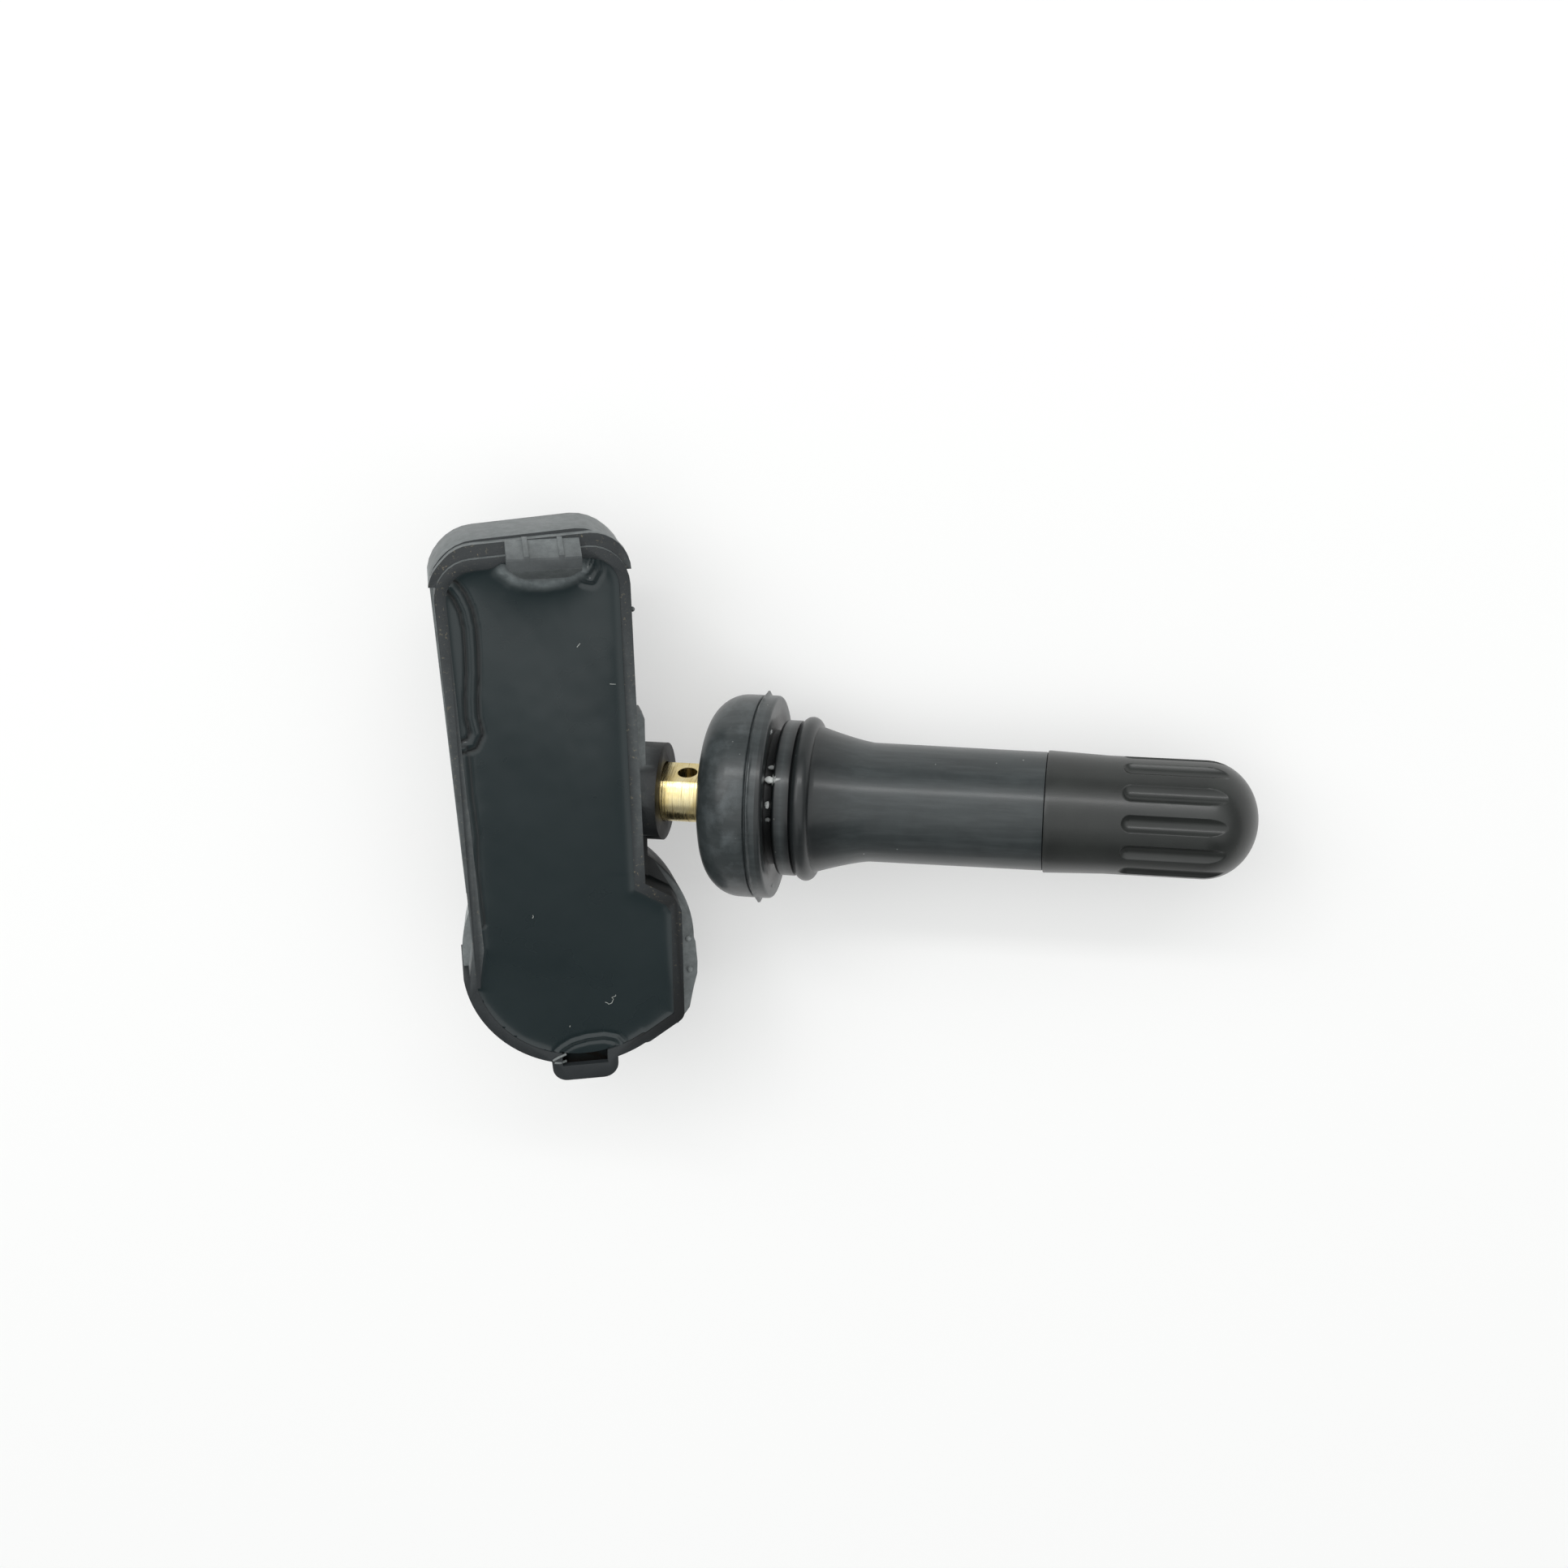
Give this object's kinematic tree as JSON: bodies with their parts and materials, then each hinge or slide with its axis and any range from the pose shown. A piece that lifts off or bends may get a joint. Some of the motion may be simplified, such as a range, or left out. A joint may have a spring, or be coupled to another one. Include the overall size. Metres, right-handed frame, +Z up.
{
  "type": "tyre pressure sensor",
  "caption": "Snap-in tyre pressure sensor: a potted housing with a round battery end, screwed to the brass stem of a rubber tyre valve with a fluted cap.",
  "frame": {"origin": "centre of the rim seat, on the valve axis", "axes": "+X along the valve axis towards the cap, +Y along the housing towards its thin end, +Z up, on the side of the potted face"},
  "size_m": [0.0742, 0.0525, 0.0213],
  "materials": {
    "housing_nylon": "moulded glass-filled nylon, matte",
    "potting_resin": "cast black resin, soft gloss",
    "board_epoxy": "green solder mask",
    "cell_steel": "nickel-plated steel can",
    "nickel_strip": "nickel strip",
    "chip_moulding": "moulded chip package",
    "silicone": "grey silicone",
    "ferrite": "sintered ferrite",
    "copper_wire": "enamelled copper wire",
    "tinned_strip": "tinned strip",
    "crystal_can": "drawn steel can",
    "chip_ceramic": "fired ceramic",
    "resistor_glaze": "black glaze",
    "screw_steel": "zinc-plated steel",
    "valve_rubber": "moulded rubber, matte",
    "stem_brass": "turned brass",
    "core_brass": "turned brass",
    "core_seal": "PTFE",
    "cup_rubber": "red-brown rubber",
    "spring_steel": "drawn spring wire",
    "cap_plastic": "moulded polypropylene, satin"
  },
  "bodies": {
    "sensor": {"housing": "housing_nylon", "potting_compound": "potting_resin", "circuit_board": "board_epoxy", "battery_cell": "cell_steel", "battery_tab_positive": "nickel_strip", "battery_tab_negative": "nickel_strip", "sensor_chip": "chip_moulding", "pressure_port_gasket": "silicone", "lf_coil_core": "ferrite", "lf_coil_winding": "copper_wire", "rf_antenna": "tinned_strip", "crystal": "crystal_can", "chip_capacitors": "chip_ceramic", "chip_resistors": "resistor_glaze", "fastening_screw": "screw_steel", "rubber_valve_body": "valve_rubber", "brass_stem": "stem_brass", "core_barrel": "core_brass", "core_barrel_gasket": "core_seal", "core_spring": "spring_steel"},
    "core_pin_body": {"core_pin": "core_brass", "core_cup_seal": "cup_rubber"},
    "cap_seal_body": {"cap_gasket": "cup_rubber"},
    "cap_body": {"valve_cap": "cap_plastic"}
  },
  "joints": [
    {"name": "core_pin_press", "type": "slide", "parent": "sensor", "child": "core_pin_body", "axis": [-1, 0, 0], "range_m": [0, 0.0013], "stiffness_N_per_m": 1500, "springref_m": -0.001, "deforming": ["core_spring"]},
    {"name": "cap_lift", "type": "slide", "parent": "sensor", "child": "cap_seal_body", "axis": [1, 0, 0], "range_m": [0, 0.00476]},
    {"name": "cap_turn", "type": "hinge", "parent": "cap_seal_body", "child": "cap_body", "pos_m": [0.0305, 0, 0], "axis": [1, 0, 0], "range_deg": [0, 2160]}
  ],
  "couplings": [
    {"joint": "cap_turn", "follows": "cap_lift", "rad_per_m": 7916}
  ]
}
